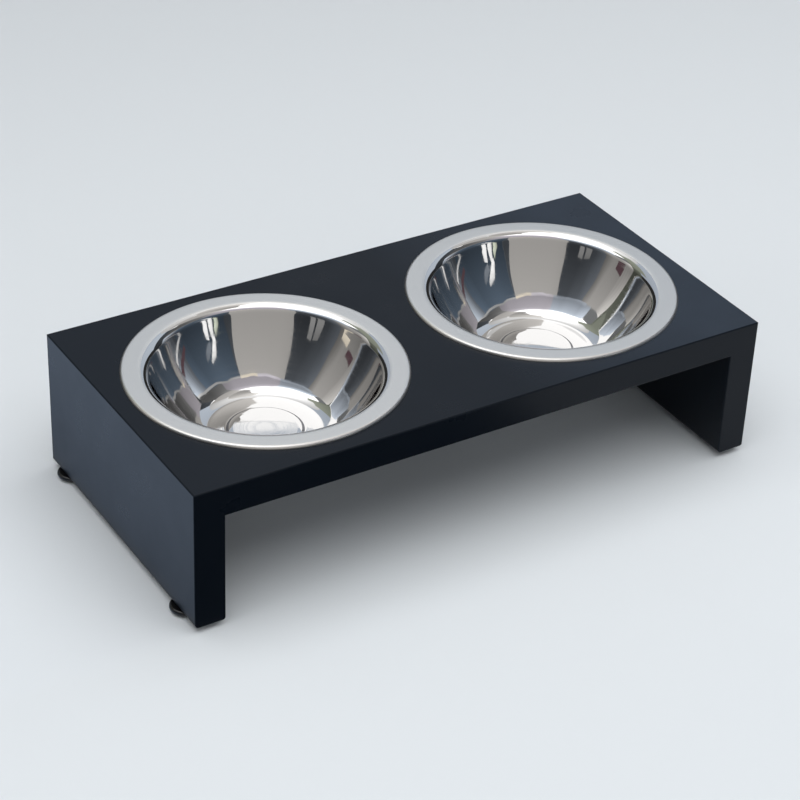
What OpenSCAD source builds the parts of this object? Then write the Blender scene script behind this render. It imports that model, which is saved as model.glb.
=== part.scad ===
// Low feeder stand: three mitred boards with two drop-in bowls.
// Millimetres, +Z up. The origin is on the floor, under the middle of the stand,
// and the front faces -Y.

/* [Boards] */
// Thickness of all three boards
board_thickness = 18; // [16:0.5:25]
// Height of the top face above the bottom edge of the side boards
board_height = 84; // [70:1:180]
// Rounding of the boards' edges
edge_round = 0.8; // [0.4:0.1:1.5]
// Rounding of the side boards' bottom edges
heel_round = 2; // [0.5:0.5:5]

/* [Cut-outs] */
// Room around a bowl's wall in its cut-out
hole_room = 3.7; // [1:0.1:6]
// Wood between the two cut-outs
hole_web = 47; // [30:1:80]
// Wood between a cut-out and the front or back edge
hole_margin = 21.5; // [16:0.5:50]
// Distance from a cut-out to the inside of a side board
hole_to_side = 4.5; // [2:0.5:40]

/* [Bowls] */
// Outside diameter of a bowl's rim
rim_diameter = 158; // [130:1:200]
// Width of the flat rim, from its outside to where it turns down into the bowl
rim_width = 9.5; // [6:0.5:18]
// How far the rim's outer edge turns down to stand on the board
rim_drop = 1.8; // [1.2:0.1:3]
// Thickness of the steel sheet
sheet = 0.8; // [0.5:0.1:1.1]
// Rounding from the rim into the wall
lip_round = 7; // [1.5:0.5:8]
// Lean of the wall below the lip, in degrees from upright
wall_lean = 25; // [3:0.5:30]
// How much more the wall leans at its foot, in degrees
wall_belly = 20; // [2:0.5:24]
// Depth from the rim's top to the floor of the bowl
bowl_depth = 41; // [35:1:60]
// Rounding from the wall into the floor
floor_round = 13; // [6:1:16]
// Radius of the raised disc pressed into the floor, as a share of the flat floor
disc_share = 0.66; // [0.3:0.01:0.8]
// Height of the raised disc
disc_rise = 0.8; // [0.3:0.1:1.5]
// Width of the slope around the raised disc
disc_slope = 1.5; // [1:0.5:4]

/* [Feet] */
// Diameter of a foot
foot_diameter = 18; // [14:0.5:24]
// Height of a foot
foot_height = 4; // [2.5:0.1:8]
// Rounding of a foot's upper edge
foot_round = 1.5; // [0.6:0.1:1.6]
// Diameter of the flat under a foot
foot_flat = 10; // [9:0.5:13]
// How far a foot stands out past the outer face of its side board
foot_overhang = 3.2; // [0:0.1:5]
// Distance from a front foot's centre to the front edge
front_foot_inset = 22; // [12:0.5:40]
// Distance from a rear foot's centre to the back edge
rear_foot_inset = 15; // [12:0.5:40]

/* [Nails] */
// Diameter of a nail's shank
nail_diameter = 1.6; // [1.2:0.1:2.2]
// Length of the nail inside the board
nail_reach = 14; // [8:0.5:25]
// Diameter of a nail's head
nail_head = 4.6; // [3.6:0.1:6]
// Thickness of a nail's head
nail_head_height = 0.7; // [0.5:0.1:1]
// How far the head lies above the flat of the foot
nail_recess = 0.4; // [0.2:0.1:0.6]
// Room around the nail and its head
nail_room = 0.05; // [0.02:0.01:0.2]

/* [Dowels] */
// Diameter of a dowel
dowel_diameter = 6; // [4:0.5:7]
// Distance of the dowels from the inside corner, measured along the top
dowel_setback = 7; // [5.5:0.5:8]
// Wood left between a dowel's hole and the outer face
dowel_cover = 2.5; // [2:0.1:4]
// Distance of the outer dowels from the front and back edges
dowel_inset = 22; // [12:1:40]
// Bevel on a dowel's ends
dowel_bevel = 0.8; // [0.4:0.1:1.2]
// Room around a dowel
dowel_room = 0.1; // [0.05:0.01:0.2]
// Room for glue at each end of a dowel
dowel_end_room = 0.4; // [0.2:0.1:1]

/* [Hidden] */
$fn = 96;

// The two sides, and the two ends of a side board
left = "left";
right = "right";
front = "front";
rear = "rear";

// Steps in a rounded corner of an outline that is turned
arc_steps = 12;
// How far a cut runs past the wood
past = 1;

// The cut-outs follow the bowls, and the boards follow the cut-outs
rim_radius = rim_diameter / 2;
rim_inner = rim_radius - rim_width;
wall_radius = rim_inner - lip_round + sheet;
hole_radius = wall_radius + hole_room;
bowl_x = hole_radius + hole_web / 2;
inside_x = bowl_x + hole_radius + hole_to_side;
outside_x = inside_x + board_thickness;
half_depth = hole_radius + hole_margin;

// The bowl's section: the lip, the curved wall and the corner of the floor, from the rim's top down
lip_centre = [rim_inner, -lip_round];
wall_top = lip_centre + lip_round * [-cos(wall_lean), sin(wall_lean)];
foot_lean = wall_lean + wall_belly;
wall_foot_z = floor_round * (1 - sin(foot_lean)) - bowl_depth;
wall_round = (wall_top.y - wall_foot_z) / (sin(foot_lean) - sin(wall_lean));
wall_centre = wall_top + wall_round * [-cos(wall_lean), sin(wall_lean)];
floor_centre = wall_centre + (wall_round - floor_round) * [cos(foot_lean), -sin(foot_lean)];
disc_radius = disc_share * floor_centre.x;

// Heights above the floor
board_bottom = foot_height;
board_top = board_bottom + board_height;
top_underside = board_top - board_thickness;
rim_top = board_top + rim_drop;

// The feet
foot_radius = foot_diameter / 2;
foot_x = outside_x + foot_overhang - foot_radius;
head_bottom = nail_recess;
head_top = head_bottom + nail_head_height;
nail_tip = nail_diameter;

// The dowels stand square to the mitre, on a line along it
dowel_x = inside_x + dowel_setback;
dowel_z = top_underside + dowel_setback;
dowel_radius = dowel_diameter / 2;
dowel_hole_radius = dowel_radius + dowel_room;
dowel_hole_reach = sqrt(2) * (board_thickness - dowel_setback - dowel_cover) - dowel_hole_radius;
dowel_reach = dowel_hole_reach - dowel_end_room;
dowel_last = half_depth - dowel_inset;
// Places of the dowels along a corner, from the front to the rear
dowel_places = [-dowel_last, -dowel_last / 3, dowel_last / 3, dowel_last];

paint = [0.09, 0.1, 0.12];
steel = [0.75, 0.76, 0.78];
plastic = [0.03, 0.03, 0.035];
beech = [0.8, 0.66, 0.47];

// Points of an arc around a centre, from one angle to another
function arc(centre, radius, from, to) = [
    for (i = [0 : arc_steps])
        let (angle = from + (to - from) * i / arc_steps)
        centre + radius * [cos(angle), sin(angle)]
];

// Where a foot stands along a side board
function foot_y(end) = end == front ? front_foot_inset - half_depth : half_depth - rear_foot_inset;

function reversed(points) = [for (i = [len(points) - 1 : -1 : 0]) points[i]];

// One surface of a bowl's sheet, from the rim's outer edge to the middle of the floor.
// Inset 0 is the surface that holds the food, and inset sheet is the one below it.
function bowl_line(inset) =
    let (
        edge_centre = [rim_radius - rim_drop, -rim_drop],
        floor_z = -bowl_depth - inset
    )
    concat(
        arc(edge_centre, rim_drop - inset, 0, 90),
        arc(lip_centre, lip_round - inset, 90, 180 - wall_lean),
        arc(wall_centre, wall_round + inset, -wall_lean, -foot_lean),
        arc(floor_centre, floor_round + inset, -foot_lean, -90),
        [
            [disc_radius + disc_slope, floor_z],
            [disc_radius, floor_z + disc_rise],
            [0, floor_z + disc_rise]
        ]
    );

// Rectangle with rounded corners, one radius for the low pair and one for the high pair
module eased_outline(low, high, low_round, high_round) {
    for (y_side = [0, 1]) {
        radius = y_side == 0 ? low_round : high_round;
        corner_y = y_side == 0 ? low.y + radius : high.y - radius;
        for (corner_x = [low.x + radius, high.x - radius])
            translate([corner_x, corner_y]) circle(r = radius);
        translate([low.x + radius, y_side == 0 ? low.y : corner_y])
            square([high.x - low.x - 2 * radius, radius]);
    }
    translate([low.x, low.y + low_round])
        square([high.x - low.x, high.y - low.y - low_round - high_round]);
}

// Bars with rounded edges along Y, X and Z, whose outlines are the views from the front,
// from the left end and from above
module bar_along_y(low, high, low_round) {
    translate([0, half_depth, 0]) rotate([90, 0, 0]) linear_extrude(2 * half_depth)
        eased_outline(low, high, low_round, edge_round);
}

module bar_along_x(low, high) {
    translate([-outside_x, 0, 0]) rotate([90, 0, 90]) linear_extrude(2 * outside_x)
        eased_outline(low, high, edge_round, edge_round);
}

module bar_along_z(low, high) {
    translate([0, 0, board_bottom]) linear_extrude(board_height)
        eased_outline(low, high, edge_round, edge_round);
}

// What is shaped for the left side, on either side
module on_side(side) {
    mirror([side == right ? 1 : 0, 0, 0]) children();
}

// All that lies outside and below the left corner's mitre
module beyond_mitre() {
    reach = board_height + past;
    translate([-inside_x, 0, top_underside]) rotate([0, -45, 0])
        translate([-reach, -half_depth - past, -reach])
            cube([reach, 2 * (half_depth + past), 2 * reach]);
}

// Places something that points along +Z square to the left corner's mitre
module at_mitre(y) {
    translate([-dowel_x, y, dowel_z]) rotate([0, 45, 0]) children();
}

module dowel_holes() {
    for (y = dowel_places)
        at_mitre(y) translate([0, 0, -dowel_hole_reach])
            cylinder(r = dowel_hole_radius, h = 2 * dowel_hole_reach);
}

module top_board() {
    color(paint) difference() {
        intersection() {
            bar_along_y([-outside_x, top_underside], [outside_x, board_top], edge_round);
            bar_along_x([-half_depth, top_underside], [half_depth, board_top]);
        }
        for (side = [left, right]) on_side(side) {
            beyond_mitre();
            translate([-bowl_x, 0, top_underside - past])
                cylinder(r = hole_radius, h = board_thickness + 2 * past);
            dowel_holes();
        }
    }
}

module side_board(side) {
    color(paint) on_side(side) difference() {
        intersection() {
            bar_along_y([-outside_x, board_bottom], [-inside_x, board_top], heel_round);
            bar_along_z([-outside_x, -half_depth], [-inside_x, half_depth]);
            beyond_mitre();
        }
        dowel_holes();
        for (end = [front, rear])
            translate([-foot_x, foot_y(end), board_bottom - past])
                cylinder(d = nail_diameter + 2 * nail_room, h = nail_reach + past + nail_room);
    }
}

module bowl(side) {
    color(steel) on_side(side) translate([-bowl_x, 0, rim_top]) rotate_extrude()
        polygon(concat(bowl_line(0), reversed(bowl_line(sheet))));
}

// Glide with a rounded upper edge, a domed underside and a recess for the nail's head
module foot(side, end) {
    belly = foot_height - foot_round;
    flat_radius = foot_flat / 2;
    shank_hole = nail_diameter / 2 + nail_room;
    head_hole = nail_head / 2 + nail_room;
    dome = [
        for (point = arc([0, 0], 1, 0, -90))
            [flat_radius + (foot_radius - flat_radius) * point.x, belly + belly * point.y]
    ];
    color(plastic) on_side(side) translate([-foot_x, foot_y(end), 0]) rotate_extrude()
        polygon(concat(
            [[shank_hole, foot_height]],
            arc([foot_radius - foot_round, belly], foot_round, 90, 0),
            dome,
            [[head_hole, 0], [head_hole, head_top], [shank_hole, head_top]]
        ));
}

module nail(side, end) {
    shank = nail_diameter / 2;
    point_z = board_bottom + nail_reach;
    color(steel) on_side(side) translate([-foot_x, foot_y(end), 0]) rotate_extrude()
        polygon([
            [0, head_bottom], [nail_head / 2, head_bottom], [nail_head / 2, head_top],
            [shank, head_top], [shank, point_z - nail_tip], [0, point_z]
        ]);
}

module dowel(side, place) {
    color(beech) on_side(side) at_mitre(dowel_places[place]) rotate_extrude()
        polygon([
            [0, -dowel_reach],
            [dowel_radius - dowel_bevel, -dowel_reach],
            [dowel_radius, dowel_bevel - dowel_reach],
            [dowel_radius, dowel_reach - dowel_bevel],
            [dowel_radius - dowel_bevel, dowel_reach],
            [0, dowel_reach]
        ]);
}

top_board();
side_board(left);  // left_side_board
side_board(right);  // right_side_board
bowl(left);  // left_bowl
bowl(right);  // right_bowl
foot(left, front);  // front_left_foot
foot(left, rear);  // rear_left_foot
foot(right, front);  // front_right_foot
foot(right, rear);  // rear_right_foot
nail(left, front);  // front_left_nail
nail(left, rear);  // rear_left_nail
nail(right, front);  // front_right_nail
nail(right, rear);  // rear_right_nail
dowel(left, 0);  // left_dowel_front
dowel(left, 1);  // left_dowel_front_middle
dowel(left, 2);  // left_dowel_rear_middle
dowel(left, 3);  // left_dowel_rear
dowel(right, 0);  // right_dowel_front
dowel(right, 1);  // right_dowel_front_middle
dowel(right, 2);  // right_dowel_rear_middle
dowel(right, 3);  // right_dowel_rear
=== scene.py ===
# %% [markdown]
# # A feeder stand with two steel bowls
#
# The object is a low bench for pet food. Three black boards make the bench, two steel bowls hang by
# their flat rims in round cut-outs of its top, and four small plastic glides keep it off the floor.
# This lesson takes the measured model of those pieces, gives each one its real surface, and lights it
# like a plain product picture. The pieces could be modelled again by eye, but loading the measured ones
# keeps every size true. All lengths are metres, +Z is up, and the floor is at zero.

import math

import bpy
from mathutils import Matrix, Vector


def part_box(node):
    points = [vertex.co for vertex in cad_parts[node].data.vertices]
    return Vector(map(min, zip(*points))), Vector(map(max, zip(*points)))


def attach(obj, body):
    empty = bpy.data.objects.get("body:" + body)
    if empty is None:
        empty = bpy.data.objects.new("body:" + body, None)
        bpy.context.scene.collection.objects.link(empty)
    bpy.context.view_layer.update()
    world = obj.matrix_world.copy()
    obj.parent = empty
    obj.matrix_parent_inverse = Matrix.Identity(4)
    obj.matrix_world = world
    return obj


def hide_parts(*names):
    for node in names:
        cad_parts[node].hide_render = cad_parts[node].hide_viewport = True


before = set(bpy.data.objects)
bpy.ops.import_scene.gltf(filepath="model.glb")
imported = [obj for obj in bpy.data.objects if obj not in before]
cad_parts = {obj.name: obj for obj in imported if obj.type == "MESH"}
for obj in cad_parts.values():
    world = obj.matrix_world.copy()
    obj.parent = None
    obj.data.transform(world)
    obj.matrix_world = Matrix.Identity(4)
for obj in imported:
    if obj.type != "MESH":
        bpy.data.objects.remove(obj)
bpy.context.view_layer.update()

bpy.context.scene.view_settings.view_transform = "Standard"
print("pieces:", len(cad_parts))

# %% [markdown]
# ## The camera
#
# The stand is seen from the front left, from well above, and from far enough away that its long edges
# stay almost parallel. A camera can be aimed by hand or with a Track To constraint. Here the eye, the
# lens and the slight tilt were worked out from where the corners of the boards and the rims of the
# bowls lie in the photograph, so they are plain values, and one matrix places and aims the camera.

# %% Place the camera
EYE = Vector((-0.621557, -0.961039, 0.778018))
LOOK_AT = Vector((-0.007329, -0.006636, 0.046))
TILT = math.radians(2.4729)
LENS_IN_MM = 107.3241
SENSOR_IN_MM = 36.0
FARTHEST_SEEN = 20.0

camera_data = bpy.data.cameras.new("product_camera")
camera_data.lens = LENS_IN_MM
camera_data.sensor_width = SENSOR_IN_MM
camera_data.clip_end = FARTHEST_SEEN
camera = bpy.data.objects.new("product_camera", camera_data)
bpy.context.scene.collection.objects.link(camera)

facing = (LOOK_AT - EYE).to_track_quat("-Z", "Y").to_matrix()
camera.matrix_world = Matrix.Translation(EYE) @ (facing @ Matrix.Rotation(TILT, 3, "Z")).to_4x4()
bpy.context.scene.camera = camera
print("camera is", round((LOOK_AT - EYE).length, 3), "m from the stand")

# %% [markdown]
# ## Small tools for materials
#
# No real surface is quite even: paint has a skin and steel has marks. Such a finish could be a picture
# wrapped around the piece, but a picture has a fixed sharpness and needs an unwrapped mesh. So every
# surface below is a principled shader with a few texture nodes, which hold at any distance and on any
# shape. Short helpers do the repeated work: these two start a material and add a node to it.

# %% Start a material and add nodes
def start_material(name, **values):
    """A material whose principled shader has the given socket values; returns it, its tree and shader.
    Where a texture is wired to a socket later, its value is what a plain preview shows."""
    material = bpy.data.materials.new(name)
    material.use_nodes = True
    tree = material.node_tree
    shader = tree.nodes["Principled BSDF"]
    for socket, value in values.items():
        shader.inputs[socket.replace("_", " ")].default_value = value
    return material, tree, shader


def add_node(tree, kind, settings=None, **inputs):
    """Add a node. An input is named, or i and its number, and is a value or another node's output."""
    node = tree.nodes.new("ShaderNode" + kind)
    for name, value in (settings or {}).items():
        setattr(node, name, value)
    for name, value in inputs.items():
        socket = node.inputs[int(name[1:])] if name[0] == "i" and name[1:].isdigit() else node.inputs[name]
        if isinstance(value, bpy.types.NodeSocket):
            tree.links.new(value, socket)
        else:
            socket.default_value = value
    return node


print("helpers that add nodes are ready")

# %% [markdown]
# ## From textures to a finish
#
# A texture node only gives numbers. The next helpers turn them into a finish: they stretch a texture to
# the range that is wanted, multiply two of them, mix two colours, make a surface shinier and duller from
# spot to spot, and raise bumps. The nodes could be wired by hand each time, but a named helper says what
# the wiring is for.

# %% Turn textures into finishes
NOISE_LOW = 0.3
NOISE_HIGH = 0.7


def place(tree):
    """The point on the piece, in metres."""
    return add_node(tree, "TexCoord").outputs["Object"]


def spread(tree, value, start, stop, at_start=0.0, at_stop=1.0):
    """Map a value between start and stop to another range, clamped at both ends."""
    return add_node(tree, "MapRange", i0=value, i1=start, i2=stop, i3=at_start, i4=at_stop).outputs[0]


def multiply(tree, first, second):
    """The product of two texture values."""
    return add_node(tree, "Math", {"operation": "MULTIPLY"}, i0=first, i1=second).outputs[0]


def mix_colours(tree, share, first, second):
    """A colour between two colours: the first where the share is 0, the second where it is 1."""
    mix = add_node(tree, "Mix", {"data_type": "RGBA"}, Factor=share, A=first, B=second)
    return mix.outputs["Result"]


def vary_roughness(tree, shader, texture, shiniest, dullest, start=NOISE_LOW, stop=NOISE_HIGH):
    """Let a texture make a surface shinier and duller from spot to spot."""
    tree.links.new(spread(tree, texture, start, stop, shiniest, dullest), shader.inputs["Roughness"])


def raise_bumps(tree, shader, texture, strength, height):
    """Let a texture stand for bumps that are too fine to model."""
    bump = add_node(tree, "Bump", Height=texture, Strength=strength, Distance=height)
    tree.links.new(bump.outputs["Normal"], shader.inputs["Normal"])


print("a noise texture is used between", NOISE_LOW, "and", NOISE_HIGH)

# %% [markdown]
# ## Dust specks, and painted light on the paint
#
# Black paint shows every bit of dust, and a few specks lie anywhere on the boards. The level faces are
# also painted lighter and bluer, hardly on the left and more towards the right end of the top: this is
# painted light that brightens that end. Specks could be scattered as tiny pieces, but thousands of
# pieces for dust would be a waste. A Voronoi texture already has a dot in each of its cells, so a few of
# its dots are kept as specks. The painted light is a soft ramp along the top, faded out where a face
# turns away from up.

# %% Let dust specks settle, and paint light on the right end of the top
SPECK_CORE = 0.015
SPECK_EDGE = 0.035
CHOSEN_FROM = 0.9
CHOSEN_FULLY = 0.92
PAINTED_LIGHT_START = 0.02
PAINTED_LIGHT_FULL = 0.15
LEVEL_FROM = 0.8


def dust_specks(tree, where):
    """1 in a few tiny dots, 0 elsewhere."""
    dots = add_node(tree, "TexVoronoi", Vector=where, Scale=95.0)
    chance = add_node(tree, "SeparateColor", Color=dots.outputs["Color"])
    in_dot = spread(tree, dots.outputs["Distance"], SPECK_CORE, SPECK_EDGE, at_start=1.0, at_stop=0.0)
    chosen = spread(tree, chance.outputs["Red"], CHOSEN_FROM, CHOSEN_FULLY)
    return multiply(tree, in_dot, chosen)


def right_end_painted_light(tree, where, cloud):
    """How much painted light lies at a point: it grows along X, on level faces, and is a little cloudy."""
    point = add_node(tree, "SeparateXYZ", Vector=where)
    facing_up = add_node(tree, "SeparateXYZ", Vector=add_node(tree, "NewGeometry").outputs["Normal"])
    along = spread(tree, point.outputs["X"], PAINTED_LIGHT_START, PAINTED_LIGHT_FULL)
    level = spread(tree, facing_up.outputs["Z"], LEVEL_FROM, 1.0)
    cloudy = spread(tree, cloud, start=0.35, stop=0.65, at_start=0.75, at_stop=1.0)
    return multiply(tree, multiply(tree, along, level), cloudy)


# Where the painted light on the top starts, and where it is full.
print("the film of dust grows from x =", PAINTED_LIGHT_START, "to x =", PAINTED_LIGHT_FULL)

# %% [markdown]
# ## Matt black paint
#
# The boards are fibreboard with a sprayed matt black finish that is a little blue. Sprayed paint dries
# with a fine pebbled skin and an uneven sheen. The skin could be sculpted or displaced, but it is far
# too fine for that and would change the measured boards, so it is a bump. A slow noise varies the sheen.

# %% Paint the boards
MM = 0.001
PAINT = (0.0035, 0.006, 0.0105, 1.0)
# Lighter, bluer paint: painted light on the right end of the top.
RIGHT_END_LIT_PAINT = (0.021, 0.03, 0.045, 1.0)
DUST = (0.05, 0.053, 0.058, 1.0)


def board_paint():
    """Matt black paint with a pebbled skin, an uneven sheen, a few dust specks and painted light on the
    right end of the top.
    """
    material, tree, shader = start_material(
        "matt_black_board_paint", Base_Color=PAINT, Roughness=0.3, IOR=1.24
    )
    where = place(tree)
    cloud = add_node(tree, "TexNoise", Vector=where, Scale=24.0, Detail=4.0, Roughness=0.6).outputs["Fac"]
    vary_roughness(tree, shader, cloud, shiniest=0.26, dullest=0.34)

    # Painted light: the level faces turn lighter and bluer towards the right end of the top.
    with_painted_light = mix_colours(tree, right_end_painted_light(tree, where, cloud), PAINT, RIGHT_END_LIT_PAINT)
    coat = mix_colours(tree, dust_specks(tree, where), with_painted_light, DUST)
    tree.links.new(coat, shader.inputs["Base Color"])

    skin = add_node(tree, "TexNoise", Vector=where, Scale=1100.0, Detail=2.0)
    raise_bumps(tree, shader, skin.outputs["Fac"], strength=0.25, height=0.02 * MM)
    return material


def give(material, *names):
    """Put a material on pieces of the measured model."""
    for name in names:
        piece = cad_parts[name]
        piece.data.materials.clear()
        piece.data.materials.append(material)
    print(material.name, "is on", len(names), "pieces")


give(board_paint(), "top_board", "left_side_board", "right_side_board")

# %% [markdown]
# ## Turning a line into a piece
#
# The bowls and the glides are round pieces, so half of their section, turned once around the Z axis,
# gives the whole piece, like on a lathe. Blender's Spin tool or Screw modifier could turn the line. A
# short function of our own is used, because each stretch of the line can then carry the number of its
# finish, and a wall can be a little out of round. First come helpers that draw the line.

# %% Draw arcs and straight stretches
def arc(centre, radius, start, stop, steps):
    """Points of an arc in the plane of radius and height, angles in degrees."""
    points = []
    for step in range(steps + 1):
        angle = math.radians(start + (stop - start) * step / steps)
        points.append((centre[0] + radius * math.cos(angle), centre[1] + radius * math.sin(angle)))
    return points


def straight(start, stop, steps):
    """Points between two points, without the two."""
    shares = [step / steps for step in range(1, steps)]
    return [tuple(a + (b - a) * share for a, b in zip(start, stop)) for share in shares]


print("a quarter circle in two steps:", [tuple(round(v, 3) for v in p) for p in arc((0, 0), 1, 0, 90, 2)])

# %% [markdown]
# ## The lathe
#
# Each point of the line becomes a ring of points, and faces join each ring to the next one. Where the
# line meets the axis the ring is a single point, and the faces there are triangles. Rings could be
# bridged with Blender's edit tools, but a mesh can also be filled from plain lists of points and faces,
# which needs no selecting. Shading is smooth, apart from edges that are meant to be sharp.

# %% Turn a line on the lathe
SHARP_FROM = math.radians(40)


def turned_points(line, around, ripple):
    """The points of each turn of the line, and the numbers of the points in it."""
    vertices, rings = [], []
    for radius, height, _ in line:
        count = 1 if radius == 0 else around
        rings.append(range(len(vertices), len(vertices) + count))
        for step in range(count):
            turn = 2 * math.pi * step / around
            out = radius + (ripple(turn, radius, height) if ripple else 0.0)
            vertices.append((out * math.cos(turn), out * math.sin(turn), height))
    return vertices, rings


def lathe(name, line, around, ripple=None):
    """Close a line of (radius, height, finish) and turn it about Z into a smooth mesh."""
    vertices, rings = turned_points(line, around, ripple)
    faces, finishes = [], []
    for place_now, now in enumerate(rings):
        after = rings[(place_now + 1) % len(rings)]
        if len(now) == 1 and len(after) == 1:
            continue
        for step in range(around):
            follow = (step + 1) % around
            corners = [now[step % len(now)], after[step % len(after)]]
            corners += [after[follow % len(after)], now[follow % len(now)]]
            faces.append(tuple(dict.fromkeys(corners)))
            finishes.append(line[place_now][2])
    mesh = bpy.data.meshes.new(name)
    mesh.from_pydata(vertices, [], faces)
    mesh.polygons.foreach_set("material_index", finishes)
    mesh.polygons.foreach_set("use_smooth", [True] * len(faces))
    mesh.set_sharp_from_angle(angle=SHARP_FROM)
    mesh.update()
    return mesh


print("edges sharper than", round(math.degrees(SHARP_FROM)), "degrees stay crisp")

# %% [markdown]
# ## A new piece in the place of a measured one
#
# A turned piece is smoother than the measured one that it stands for, and must move with it. It could be
# joined to the old mesh, but the measured pieces are never changed. So it is a new object that rides on
# the same body, and the measured piece that it stands for is hidden.

# %% Stand a new piece in its place
def add_piece(name, mesh, location, materials, body, replaced):
    """Stand a new piece in the place of a measured one."""
    piece = bpy.data.objects.new(name, mesh)
    piece.location = location
    bpy.context.scene.collection.objects.link(piece)
    for material in materials:
        mesh.materials.append(material)
    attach(piece, body)
    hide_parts(replaced)
    print(name, "has", len(mesh.polygons), "faces, at", tuple(round(v, 4) for v in location))
    return piece


print("round pieces:", [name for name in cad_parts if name.endswith(("_bowl", "_foot"))])

# %% [markdown]
# ## Satin steel for the rims
#
# A bowl is one pressed sheet, but its parts are finished in different ways. One material with masks
# could hold all of them. Four materials are easier to read, and because each stretch of the line picks
# one, their borders stay clean at any distance. The first is the satin of the flat rim and of the start
# of its lip: steel with a very fine even grain, which spreads what it mirrors.

# %% Make the rims satin
RIM, POLISH, CREASE, UNDERSIDE = range(4)


def satin_rim():
    """Satin steel with a fine even grain."""
    material, tree, shader = start_material(
        "satin_bowl_rim", Base_Color=(0.742, 0.73, 0.704, 1.0), Metallic=1.0, Roughness=0.34
    )
    grain = add_node(tree, "TexNoise", Vector=place(tree), Scale=2600.0, Detail=2.0).outputs["Fac"]
    vary_roughness(tree, shader, grain, shiniest=0.3, dullest=0.38)
    raise_bumps(tree, shader, grain, strength=0.2, height=0.01 * MM)
    return material


steel = [satin_rim()]
print("steel finishes:", len(steel))

# %% [markdown]
# ## Polished steel for the insides
#
# The inside is polished until it mirrors the room. Polishing leaves faint smears, and wheel marks that
# run around the bowl. The marks could be real grooves, but they are thinner than a hair. So one noise
# makes the smears, a second noise that changes only with the distance from the middle makes the rings,
# and both together set the gloss.

# %% Polish the insides
WHEEL_WEIGHTS = (1.0, 1.0, 0.4)


def polished_inside():
    """A mirror with faint smears and wheel marks."""
    material, tree, shader = start_material(
        "polished_bowl_inside", Base_Color=(0.7, 0.695, 0.69, 1.0), Metallic=1.0, Roughness=0.05
    )
    where = place(tree)
    smear = add_node(tree, "TexNoise", Vector=where, Scale=60.0, Detail=5.0, Roughness=0.65)
    weighed = add_node(tree, "VectorMath", {"operation": "MULTIPLY"}, i0=where, i1=WHEEL_WEIGHTS)
    distance = add_node(tree, "VectorMath", {"operation": "LENGTH"}, i0=weighed.outputs["Vector"])
    wheel = add_node(
        tree, "TexNoise", {"noise_dimensions": "1D"}, W=distance.outputs["Value"], Scale=900.0, Detail=3.0
    )
    marks = multiply(tree, smear.outputs["Fac"], wheel.outputs["Fac"])
    vary_roughness(tree, shader, marks, shiniest=0.03, dullest=0.09, start=0.2, stop=0.4)
    return material


steel.append(polished_inside())
print("steel finishes:", len(steel))

# %% [markdown]
# ## Painted shade in the crease, and dull sheet
#
# The crease around the low disc in the floor is painted dark grey and duller: a painted shade where
# light hardly reaches. The underside is never polished: it is the dull sheet as it left the press. The
# shade could be a thin ring of its own. As it has no thickness that shows, it is a finish of that one
# narrow stretch of the line.

# %% Finish the crease and the underside
def uneven_steel(name, colour, roughness, scale, detail, shiniest, dullest):
    """Steel whose gloss varies with a noise of the given size."""
    material, tree, shader = start_material(name, Base_Color=colour, Metallic=1.0, Roughness=roughness)
    noise = add_node(tree, "TexNoise", Vector=place(tree), Scale=scale, Detail=detail)
    vary_roughness(tree, shader, noise.outputs["Fac"], shiniest, dullest)
    return material


# Dark grey painted into the crease around the low disc, as painted shade.
CREASE_SHADE = (0.16, 0.16, 0.17, 1.0)
SHEET_GREY = (0.6, 0.6, 0.61, 1.0)
steel.append(uneven_steel(
    "painted_shade_in_crease", CREASE_SHADE, roughness=0.35, scale=900.0, detail=3.0, shiniest=0.25, dullest=0.5
))
steel.append(uneven_steel(
    "dull_bowl_underside", SHEET_GREY, roughness=0.42, scale=320.0, detail=4.0, shiniest=0.36, dullest=0.5
))
print("steel finishes:", [material.name for material in steel])

# %% [markdown]
# ## The section of a bowl
#
# Each bowl is pressed from one disc of sheet steel. Its section starts at the rim's outer edge, which
# turns down to stand on the board, crosses the flat rim, turns over the lip, goes down the wall, which
# leans more and more towards its foot, rounds into the floor and ends on the low raised disc in the
# middle. It could be drawn point by point. Arcs that run smoothly into each other need only a few sizes,
# and the width and depth come from the measured bowl. Heights count down from the top of the rim.

# %% Measure the section
SHEET = 0.8 * MM
RIM_WIDTH = 9.5 * MM
RIM_DROP = 1.8 * MM
LIP_ROUND = 7 * MM
WALL_LEAN = 25
FOOT_LEAN = 45
FLOOR_ROUND = 13 * MM
DISC_SHARE = 0.66
DISC_SLOPE = 1.5 * MM
DISC_RISE = 0.8 * MM

bowl_low, bowl_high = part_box("left_bowl")
rim_radius = (bowl_high.x - bowl_low.x) / 2
bowl_depth = bowl_high.z - bowl_low.z - SHEET
into_bowl = Vector((-math.cos(math.radians(WALL_LEAN)), math.sin(math.radians(WALL_LEAN))))
up_from_foot = Vector((-math.cos(math.radians(FOOT_LEAN)), math.sin(math.radians(FOOT_LEAN))))
lip_centre = Vector((rim_radius - RIM_WIDTH, -LIP_ROUND))
wall_top = lip_centre + LIP_ROUND * into_bowl
wall_foot_z = FLOOR_ROUND * (1 - up_from_foot.y) - bowl_depth
wall_round = (wall_top.y - wall_foot_z) / (up_from_foot.y - into_bowl.y)
wall_centre = wall_top + wall_round * into_bowl
floor_centre = wall_centre - (wall_round - FLOOR_ROUND) * up_from_foot
disc_radius = DISC_SHARE * floor_centre.x
print("rim radius:", round(rim_radius, 4), "depth:", round(bowl_depth, 4), "disc:", round(disc_radius, 4))

# %% [markdown]
# ## Both sides of the sheet
#
# The sheet has an inside and an underside. A Solidify modifier could thicken one surface, but drawing
# the same line twice, the second time one sheet thickness further out, keeps the bowl's measured box
# and lets the underside have a finish of its own.

# %% Draw the section
EDGE_STEPS = 10
RIM_STEPS = 6
LIP_STEPS = 20
SATIN_LIP_STEPS = 5
WALL_STEPS = 20
TURN_STEPS = 24
FLOOR_STEPS = 8


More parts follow.
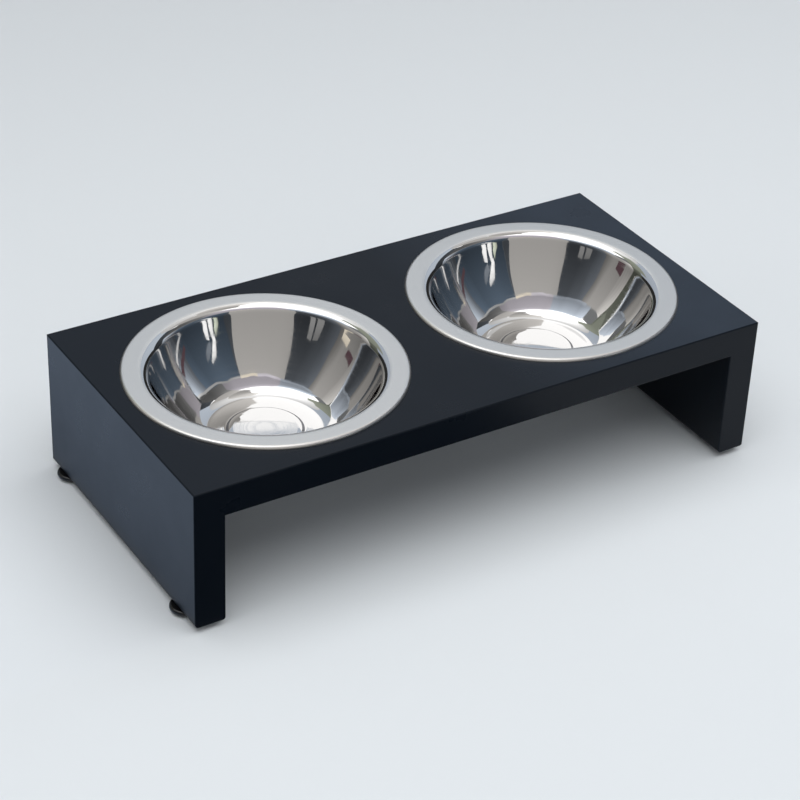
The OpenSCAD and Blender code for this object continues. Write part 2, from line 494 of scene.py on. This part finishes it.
def bowl_side(inset, rim, inside, crease):
    """One surface of the sheet, from the rim's outer edge to the middle of the floor."""
    floor_z = -bowl_depth - inset
    edge = arc((rim_radius - RIM_DROP, -RIM_DROP), RIM_DROP - inset, 0, 90, EDGE_STEPS)
    lip = arc(lip_centre, LIP_ROUND - inset, 90, 180 - WALL_LEAN, LIP_STEPS)
    wall = arc(wall_centre, wall_round + inset, -WALL_LEAN, -FOOT_LEAN, WALL_STEPS)
    turn = arc(floor_centre, FLOOR_ROUND + inset, -FOOT_LEAN, -90, TURN_STEPS)
    slope_foot = (disc_radius + DISC_SLOPE, floor_z)
    slope_top = (disc_radius, floor_z + DISC_RISE)
    disc_middle = (0, slope_top[1])
    satin = edge + straight(edge[-1], lip[0], RIM_STEPS) + lip[:SATIN_LIP_STEPS]
    shiny = lip[SATIN_LIP_STEPS:] + wall[1:-1] + turn + straight(turn[-1], slope_foot, FLOOR_STEPS)
    disc = [slope_top] + straight(slope_top, disc_middle, FLOOR_STEPS) + [disc_middle]
    line = [(*point, rim) for point in satin] + [(*point, inside) for point in shiny]
    return line + [(*slope_foot, crease)] + [(*point, inside) for point in disc]


bowl_line = bowl_side(0.0, RIM, POLISH, CREASE)
bowl_line += bowl_side(SHEET, UNDERSIDE, UNDERSIDE, UNDERSIDE)[::-1]
print("points in the bowl's line:", len(bowl_line))

# %% [markdown]
# ## Pressing the bowls
#
# A pressed wall is never quite round: it carries a faint ripple, which makes the reflections in it
# waver. A bump texture could bend the reflections too, but it is only shading and leaves the wall's
# shape perfect. Three slow waves around the wall bend the mirror itself, and fade out at the lip and
# the floor. The right bowl is turned a quarter, so that the two bowls don't waver alike.

# %% Press the bowls
BOWL_STEPS_AROUND = 256
RIPPLE = 0.03 * MM
# Each wave has its size, its number of crests, where it starts and how it drifts down the wall.
RIPPLE_WAVES = ((1.0, 11, 0.6, 3), (0.6, 23, 2.1, -5), (0.5, 37, 4.0, 4))
BOWL_TURNS = {"left": 0.0, "right": math.radians(90)}


def pressed_ripple(turn, radius, height):
    """How far the wall stands off a true circle, fading to nothing at the lip and the floor."""
    share = min(max((wall_top.y - height) / (wall_top.y + bowl_depth), 0.0), 1.0)
    fade = math.sin(math.pi * share) if radius > floor_centre.x else 0.0
    waves = sum(
        size * math.sin(crests * turn + start + drift * share) for size, crests, start, drift in RIPPLE_WAVES
    )
    return RIPPLE * fade * waves


for side, bowl_turn in BOWL_TURNS.items():
    low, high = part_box(side + "_bowl")
    middle = Vector(((low.x + high.x) / 2, (low.y + high.y) / 2, high.z))
    mesh = lathe(side + "_pressed_bowl", bowl_line, BOWL_STEPS_AROUND, pressed_ripple)
    bowl = add_piece(
        side + "_pressed_bowl", mesh, middle, steel, "loose_" + side + "_bowl", side + "_bowl"
    )
    bowl.rotation_euler.z = bowl_turn

# %% [markdown]
# ## Glossy plastic
#
# The glides are moulded from glossy black plastic, which is rubbed a little from standing on floors.
# Rub marks could be scratches in a bump, but on a piece this small only the change of gloss shows, so a
# noise varies the gloss alone.

# %% Make the plastic
def glide_plastic():
    """Black plastic that is glossy where it isn't rubbed."""
    material, tree, shader = start_material(
        "glossy_glide_plastic", Base_Color=(0.004, 0.004, 0.0045, 1.0), Roughness=0.14, IOR=1.5
    )
    rub = add_node(tree, "TexNoise", Vector=place(tree), Scale=420.0, Detail=3.0)
    vary_roughness(tree, shader, rub.outputs["Fac"], shiniest=0.1, dullest=0.22, start=0.35)
    return material


plastic = glide_plastic()
print("made", plastic.name)

# %% [markdown]
# ## The glides
#
# A glide is a small disc that is nailed on from below. Its upper edge is rounded, its underside is a
# shallow dome with a flat to stand on, and the flat has a recess for the nail's head. A cylinder with a
# Bevel modifier would come close. The lathe is used again, because one line holds the rounding, the
# dome, the flat and the recess at their measured sizes.

# %% Mould the glides
GLIDE_ROUND = 1.5 * MM
GLIDE_FLAT = 5 * MM
SHANK_HOLE = 0.85 * MM
HEAD_HOLE = 2.35 * MM
HEAD_DEPTH = 1.1 * MM
GLIDE_EDGE_STEPS = 12
GLIDE_DOME_STEPS = 18
GLIDE_STEPS_AROUND = 96


def glide_line(radius, height):
    """Half of a glide's section, as a closed line around the nail's hole."""
    belly = height - GLIDE_ROUND
    upper = arc((radius - GLIDE_ROUND, belly), GLIDE_ROUND, 90, 0, GLIDE_EDGE_STEPS)
    dome = [
        (GLIDE_FLAT + (radius - GLIDE_FLAT) * across, belly + belly * down)
        for across, down in arc((0, 0), 1, 0, -90, GLIDE_DOME_STEPS)[1:]
    ]
    recess = [(HEAD_HOLE, 0), (HEAD_HOLE, HEAD_DEPTH), (SHANK_HOLE, HEAD_DEPTH)]
    return [(*point, 0) for point in [(SHANK_HOLE, height)] + upper + dome + recess]


for end in ("front", "rear"):
    for side in ("left", "right"):
        name = end + "_" + side + "_foot"
        low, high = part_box(name)
        section = glide_line((high.x - low.x) / 2, high.z - low.z)
        mesh = lathe(end + "_" + side + "_glide", section, GLIDE_STEPS_AROUND)
        middle = Vector(((low.x + high.x) / 2, (low.y + high.y) / 2, low.z))
        add_piece(mesh.name, mesh, middle, [plastic], "stand", name)

# %% [markdown]
# ## Nails and dowels
#
# The nails that hold the glides are bright zinc-plated steel with a fine mottle. The dowels inside the
# corners are bare beech with its grain along the dowel, which leans 45 degrees on either side. Neither
# shows when the stand is on the floor, so the measured pieces stay as they are and only get a finish.
# Each could be picked by hand, but picking them by their names is shorter and misses none.

# %% Finish the nails and dowels
DOWEL_LEAN = math.radians(45)
GRAIN_STRETCH = (1.0, 1.0, 0.08)
BEECH = (0.55, 0.37, 0.21, 1.0)
EARLY_BEECH = (0.42, 0.27, 0.14, 1.0)
LATE_BEECH = (0.66, 0.47, 0.29, 1.0)


def zinc_nail():
    """Bright zinc plate with a fine mottle."""
    material, tree, shader = start_material(
        "zinc_plated_nail", Base_Color=(0.62, 0.62, 0.6, 1.0), Metallic=1.0, Roughness=0.3
    )
    mottle = add_node(tree, "TexVoronoi", Vector=place(tree), Scale=1400.0).outputs["Distance"]
    vary_roughness(tree, shader, mottle, shiniest=0.22, dullest=0.42, start=0.0, stop=1.0)
    return material


def beech_dowel():
    """Bare beech whose grain follows the dowels of both sides."""
    material, tree, shader = start_material("bare_beech_dowel", Base_Color=BEECH, Roughness=0.6)
    mirrored = add_node(tree, "VectorMath", {"operation": "ABSOLUTE"}, i0=place(tree)).outputs["Vector"]
    along = add_node(tree, "Mapping", Vector=mirrored, Rotation=(0.0, DOWEL_LEAN, 0.0), Scale=GRAIN_STRETCH)
    grain = add_node(tree, "TexNoise", Vector=along.outputs["Vector"], Scale=1800.0, Detail=5.0)
    wood = mix_colours(tree, grain.outputs["Fac"], EARLY_BEECH, LATE_BEECH)
    tree.links.new(wood, shader.inputs["Base Color"])
    return material


give(zinc_nail(), *[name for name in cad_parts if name.endswith("_nail")])
give(beech_dowel(), *[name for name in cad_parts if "_dowel_" in name])

# %% [markdown]
# ## The floor
#
# The stand is on a plain, pale, slightly blue floor that runs out of the picture on all sides. A curved
# paper backdrop could hide a horizon, but from the camera's height none shows, so one large flat face
# will do. It is nearly matt, so that it takes the soft shadow and mirrors hardly anything.

# %% Lay the floor
FLOOR_HALF = 4.0
FLOOR_COLOUR = (0.7, 0.735, 0.765, 1.0)

floor_corners = [(x * FLOOR_HALF, y * FLOOR_HALF, 0.0) for x, y in ((-1, -1), (1, -1), (1, 1), (-1, 1))]
floor_mesh = bpy.data.meshes.new("studio_floor")
floor_mesh.from_pydata(floor_corners, [], [(0, 1, 2, 3)])
floor_material, _, _ = start_material(
    "pale_floor", Base_Color=FLOOR_COLOUR, Roughness=0.8, Specular_IOR_Level=0.2
)
floor_mesh.materials.append(floor_material)
floor = bpy.data.objects.new("studio_floor", floor_mesh)
bpy.context.scene.collection.objects.link(floor)
print("floor is", 2 * FLOOR_HALF, "m wide")

# %% [markdown]
# ## The light
#
# The light is soft: a large lamp overhead, weaker ones at the sides and the front, and an even pale
# world. A picture of a sky could light the stand too, but lamps can be set one by one, until the shadow
# stays under the stand and just in front of it. Mirrors don't see the lamps, because the cards of the
# next steps give the steel and the paint something to reflect.

# %% Hang the lamps
WORLD_COLOUR = (0.95, 0.98, 1.0, 1.0)
WORLD_STRENGTH = 0.24
# Each lamp has its place, its width, its depth and its power in watts.
LAMPS = {
    "overhead_lamp": ((-0.05, -0.28, 1.6), 2.4, 2.0, 30.4),
    "left_lamp": ((-1.7, 0.0, 0.9), 1.0, 0.8, 4.0),
    "right_lamp": ((1.7, 0.0, 0.9), 1.0, 0.8, 4.0),
    "front_lamp": ((0.2, -1.8, 1.1), 1.4, 0.8, 3.0),
}

world = bpy.data.worlds.new("studio_world")
world.use_nodes = True
background = world.node_tree.nodes["Background"]
background.inputs["Color"].default_value = WORLD_COLOUR
background.inputs["Strength"].default_value = WORLD_STRENGTH
bpy.context.scene.world = world


def soft_lamp(name, location, width, depth, power):
    """A rectangular lamp that faces the stand."""
    lamp_data = bpy.data.lights.new(name, "AREA")
    lamp_data.shape = "RECTANGLE"
    lamp_data.size = width
    lamp_data.size_y = depth
    lamp_data.energy = power
    lamp = bpy.data.objects.new(name, lamp_data)
    lamp.location = location
    lamp.rotation_euler = (-Vector(location)).to_track_quat("-Z", "Y").to_euler()
    lamp.visible_glossy = False
    bpy.context.scene.collection.objects.link(lamp)


for lamp_name, values in LAMPS.items():
    soft_lamp(lamp_name, *values)
print("lamps:", list(LAMPS))

# %% [markdown]
# ## Something for the steel to reflect
#
# Polished steel has hardly a look of its own: it shows the room around it, so in an empty room the bowls
# would be plain grey. Real walls could be built around the stand, but they would also block the lamps
# and throw light of their own. So the room is made of glowing cards that only reflections see. Each
# corner of a card holds its own light, and the card blends from one to the next.

# %% Make a card that only reflections see
cards = []


def card_glow():
    """Glows in the colour that is painted on a card's corners."""
    material, tree, shader = start_material(
        "reflection_card", Base_Color=(0.0, 0.0, 0.0, 1.0), Specular_IOR_Level=0.0, Emission_Strength=1.0
    )
    shade = add_node(tree, "Attribute", {"attribute_name": "shade"})
    tree.links.new(shade.outputs["Color"], shader.inputs["Emission Color"])
    return material


glow = card_glow()


def reflection_card(name, corners, faces, tint, lights):
    """A glowing card of one tint, with a light for each corner."""
    mesh = bpy.data.meshes.new(name)
    mesh.from_pydata(corners, [], faces)
    shade = mesh.color_attributes.new("shade", "FLOAT_COLOR", "POINT")
    for corner, light in enumerate(lights):
        shade.data[corner].color = (*[light * part for part in tint], 1.0)
    mesh.materials.append(glow)
    card = bpy.data.objects.new(name, mesh)
    bpy.context.scene.collection.objects.link(card)
    card.visible_camera = False
    card.visible_diffuse = False
    card.visible_shadow = False
    card.visible_transmission = False
    cards.append(card)


print("cards glow with", glow.name)

# %% [markdown]
# ## Bending cards into a ring
#
# The bowls look up and out in all directions, so upright cards stand in a wide ring around the stand.
# Flat boards could make the ring, but their corners would show as kinks in the polished wall. A bent
# panel goes smoothly from one station to the next instead, in short flat pieces.

# %% Bend a panel
RING = 2.2
PANEL_STEP = 4
VIEW = math.atan2(LOOK_AT.y - EYE.y, LOOK_AT.x - EYE.x)


def blend(start, stop, share):
    """Values part of the way from one list of values to another."""
    return [a + (b - a) * share for a, b in zip(start, stop)]


def panel(name, tint, stations, nearer=0.0):
    """A bent card. A station has the degrees right of the view's direction, the card's low and high
    edge in degrees above the floor, and the light at each edge."""
    places = []
    for here, after in zip(stations, stations[1:]):
        steps = max(1, math.ceil((after[0] - here[0]) / PANEL_STEP))
        places += [blend(here, after, step / steps) for step in range(steps)]
    places.append(stations[-1])
    radius = RING - nearer
    corners, lights = [], []
    for turn, low_edge, high_edge, low_light, high_light in places:
        angle = VIEW - math.radians(turn)
        for lift, light in ((low_edge, low_light), (high_edge, high_light)):
            height = radius * math.tan(math.radians(lift))
            corners.append((radius * math.cos(angle), radius * math.sin(angle), height))
            lights.append(light)
    faces = [(2 * s, 2 * s + 2, 2 * s + 3, 2 * s + 1) for s in range(len(places) - 1)]
    reflection_card(name, corners, faces, tint, lights)


print("the ring is", RING, "m away, and the view points", round(math.degrees(VIEW), 1), "degrees from +X")

# %% [markdown]
# ## The walls of the mirrored room
#
# Going around to the right from the far side, the bowls mirror a pale wall, a dark room with a bright
# end, a dim warm wall behind the camera, a second dark room, a warm one and an olive corner. Above
# them the walls get lighter, and a white band closes the room at the top. A picture of a room on a dome
# could do this in one step. Plain panels are easier to change: each is a row of a table, and its few
# values were set by hand while looking at test renders.

# %% Stand the walls
WHITE = (1.0, 1.0, 1.0)
BEIGE = (1.0, 0.97, 0.93)
BLUE = (0.88, 0.98, 1.12)
DEEP_BLUE = (0.74, 1.0, 1.34)
PURPLE = (1.0, 0.95, 1.04)
GREEN = (0.98, 1.05, 0.86)
CEILING_LIGHT = 1.9
UPPER_ROOM = [(-180, 44, 80, CEILING_LIGHT, CEILING_LIGHT), (180, 44, 80, CEILING_LIGHT, CEILING_LIGHT)]
WALLS = {
    "dark_far_floor": (WHITE, [(-55, 0, 19, 0.03, 0.03), (46, 0, 19, 0.03, 0.03)]),
    "pale_far_wall": (BLUE, [(-55, 19, 46, 0.48, 0.53), (46, 19, 46, 0.66, 0.72)]),
    "far_cornice": (WHITE, [(-55, 46, 60, 0.7, 1.6), (0, 46, 62, 0.75, 1.5), (46, 46, 62, 0.6, 0.8)]),
    "dark_right_door": (BLUE, [(46, 0, 46, 0.02, 0.08), (62, 0, 48, 0.02, 0.12)]),
    "white_end_of_right_room": (BLUE, [
        (62, 0, 25, 0.05, 1.0), (70, 0, 29.5, 0.03, 0.65), (80, 0, 34.5, 0.02, 0.22),
    ]),
    "dark_right_room": (DEEP_BLUE, [
        (80, 0, 34.5, 0.02, 0.2), (92, 0, 39.5, 0.015, 0.15),
        (112, 0, 46, 0.015, 0.17), (136, 0, 50, 0.02, 0.13),
    ]),
    "beige_wall_behind": (BEIGE, [
        (136, 0, 50, 0.4, 0.54), (165, 0, 53, 0.4, 0.53),
        (195, 0, 53.5, 0.39, 0.52), (212, 0, 52.3, 0.36, 0.48),
    ]),
    "black_left_room": (BLUE, [
        (212, 0, 52.3, 0.012, 0.1), (225, 0, 50.5, 0.01, 0.1),
        (240, 0, 47, 0.02, 0.14), (252, 0, 44, 0.08, 0.22),
    ]),
    "beige_left_room": (BEIGE, [
        (252, 0, 44, 0.08, 0.25), (262, 0, 41, 0.2, 0.5),
        (277, 0, 35, 0.15, 0.5), (290, 0, 31, 0.05, 1.0),
    ]),
    "dark_right_arch": (WHITE, [
        (62, 25, 50, 0.1, 0.14), (80, 34.5, 53, 0.1, 0.18), (104, 43.5, 57, 0.18, 0.4),
    ]),
    "beige_right_wall": (BEIGE, [
        (46, 46, 74, 0.5, 0.8), (62, 50, 74, 0.5, 0.8), (80, 53, 75, 0.5, 0.85), (104, 57, 72, 0.5, 1.0),
    ]),
    "purple_over_line": (PURPLE, [
        (104, 43.5, 66, 0.3, 0.8), (120, 47.7, 68, 0.42, 0.85), (165, 53, 70, 0.42, 0.95),
        (195, 53.5, 70, 0.42, 0.95), (206, 53, 66, 0.36, 1.0),
    ]),
    "blue_over_line": (BLUE, [
        (206, 53, 66, 0.32, 1.1), (225, 50.5, 63, 0.28, 1.1), (240, 47, 60, 0.3, 1.2),
        (258, 42, 56, 0.3, 1.2), (272, 37, 48, 0.5, 1.4),
    ]),
    "olive_left_side": (GREEN, [(290, 0, 58, 0.03, 0.45), (305, 0, 58, 0.06, 0.45)]),
}
PANEL_GAP = 0.05

panel("white_upper_room", WHITE, UPPER_ROOM, nearer=-PANEL_GAP)
for panel_name, (tint, stations) in WALLS.items():
    panel(panel_name, tint, stations)
print("cards:", len(cards))

# %% [markdown]
# ## Bright streaks
#
# The streaks in a polished wall are windows, lamps and edges of the room, squeezed narrow by the curve.
# They could be painted onto the steel, but then they would stay put when the bowl is lifted or seen from
# another side. So they are small panels too, a little nearer than the walls, and the bowl squeezes them.

# %% Stand the strips
CREAM = (1.0, 0.9, 0.74)
RED = (1.0, 0.6, 0.7)
STRIPS = {
    "bright_far_window": (WHITE, [(-8, 32, 35.2, 1.25, 1.25), (1, 31.6, 34.8, 1.25, 1.25)]),
    "olive_left_wall": (GREEN, [(292, 26, 56, 0.25, 0.4), (318, 26, 50, 0.3, 0.4)]),
    "beige_beam_above": (BEIGE, [
        (2, 58, 72, 1.0, 1.1), (40, 62, 78, 0.6, 0.55), (70, 68, 82, 0.45, 0.4), (105, 72, 82, 0.45, 0.45),
    ]),
    "dark_right_edge": (BLUE, [(136, 0, 49.5, 0.02, 0.13), (146, 0, 14, 0.02, 0.05)]),
    "dark_left_edge": (BLUE, [(203, 0, 14, 0.012, 0.04), (212, 0, 52, 0.012, 0.1)]),
    "low_line_right": (WHITE, [
        (66, 12.5, 14, 0.9, 0.9), (80, 10, 11.2, 0.7, 0.7), (95, 9, 9.8, 0.2, 0.2),
    ]),
    "red_line_right": (RED, [(66, 15.5, 18, 0.12, 0.12), (86, 14, 16, 0.1, 0.1)]),
    "blue_patch_right": (BLUE, [
        (102, 29.8, 31.4, 0.2, 0.2), (108, 27, 31.4, 0.28, 0.26), (115, 25, 28.6, 0.28, 0.28),
    ]),
    "window_right": (WHITE, [
        (108.5, 33.6, 34.8, 0.8, 0.8), (112, 31.4, 34.2, 1.2, 0.8), (116, 28.6, 33.2, 1.4, 0.9),
        (120, 26.2, 30.6, 1.4, 1.1), (123.5, 25, 27.4, 1.2, 1.2),
    ]),
    "second_window_right": (WHITE, [
        (112.5, 18.5, 23.6, 1.2, 1.0), (115.5, 15.5, 25, 1.4, 1.2), (119, 12.5, 16, 1.4, 1.2),
    ]),
    "third_window_right": (WHITE, [
        (119.5, 19, 26.8, 1.3, 1.2), (122.5, 13.5, 25.8, 1.4, 1.1), (125, 14, 17, 1.2, 1.0),
    ]),
    "thin_window_right": (GREEN, [
        (125, 22, 26.6, 0.9, 0.5), (127.5, 18, 23.6, 1.0, 0.7), (130, 18.6, 21.6, 0.7, 0.4),
    ]),
    "line_right": (WHITE, [
        (62, 24.4, 25.6, 0.9, 0.9), (75, 31.4, 32.6, 0.5, 0.5),
        (112, 45.5, 46.5, 0.4, 0.4), (136, 49.6, 50.6, 0.6, 0.6),
    ]),
    "cream_line_behind": (CREAM, [(136, 49.4, 50.8, 1.0, 1.0), (165, 52.3, 53.8, 1.0, 1.0)]),
    "line_behind": (PURPLE, [
        (165, 52.3, 53.8, 0.8, 0.8), (195, 52.9, 54.2, 0.8, 0.8), (206, 52.4, 53.6, 0.6, 0.6),
    ]),
    "line_left": (BLUE, [
        (206, 52.4, 53.6, 0.5, 0.5), (225, 50, 51, 0.42, 0.42),
        (240, 46.5, 47.5, 0.42, 0.42), (262, 40.4, 41.6, 0.6, 0.6),
    ]),
    "grey_card_left": (WHITE, [(221, 17, 28, 0.34, 0.24), (226, 16, 28, 0.34, 0.24)]),
    "second_grey_card_left": (WHITE, [(228, 16, 27, 0.32, 0.2), (235, 15, 25, 0.32, 0.2)]),
    "red_line_left": (RED, [(268, 14, 17, 0.1, 0.1), (278, 12, 16, 0.1, 0.1)]),
    "cream_lamp_left": (CREAM, [(256, 12, 15, 0.9, 0.7), (266, 11, 14.5, 0.9, 0.7)]),
}

for panel_name, (tint, stations) in STRIPS.items():
    panel(panel_name, tint, stations, nearer=PANEL_GAP)
print("cards:", len(cards))

# %% [markdown]
# ## Ceiling and floor cards
#
# The level rims and the floors of the bowls mirror what is above, so a white ceiling closes the ring.
# The painted boards mirror the floor in front of them and beside them. A darker paint could make up for
# that, but it would be wrong in every other light. So a black card lies before the fronts, which keeps
# them dark, and two bluish ones lie to the left, where the side board has a cool shine that fades
# towards its foot.

# %% Lay the level cards
FLOOR_BLUE = (0.81, 1.0, 1.3)
CEILING_LIFT = 79
CEILING_HEIGHT = RING * math.tan(math.radians(CEILING_LIFT))
FLOOR_CARD_HEIGHT = 0.5 * MM
# Each card has two opposite corners, its tint and the light at its left and right edges.
FLOOR_CARDS = {
    "black_card_on_floor": ((-0.45, -0.5), (0.09, -0.092), WHITE, 0.0, 0.0),
    "blue_card_on_floor": ((-0.6, -0.088), (-0.27, 0.4), FLOOR_BLUE, 1.05, 1.05),
    "dim_blue_card_on_floor": ((-0.27, -0.088), (-0.184, 0.4), FLOOR_BLUE, 1.05, 0.55),
}


def flat_card(name, height, near_left, far_right, tint, left_light, right_light):
    """A level card between two corners of X and Y, with the light at its left and right edges."""
    (left, near), (right, far) = near_left, far_right
    corners = [(left, near, height), (right, near, height), (right, far, height), (left, far, height)]
    lights = (left_light, right_light, right_light, left_light)
    reflection_card(name, corners, [(0, 1, 2, 3)], tint, lights)


flat_card("white_ceiling", CEILING_HEIGHT, (-RING, -RING), (RING, RING), WHITE, CEILING_LIGHT, CEILING_LIGHT)
for card_name, values in FLOOR_CARDS.items():
    flat_card(card_name, FLOOR_CARD_HEIGHT, *values)
print("cards:", len(cards))
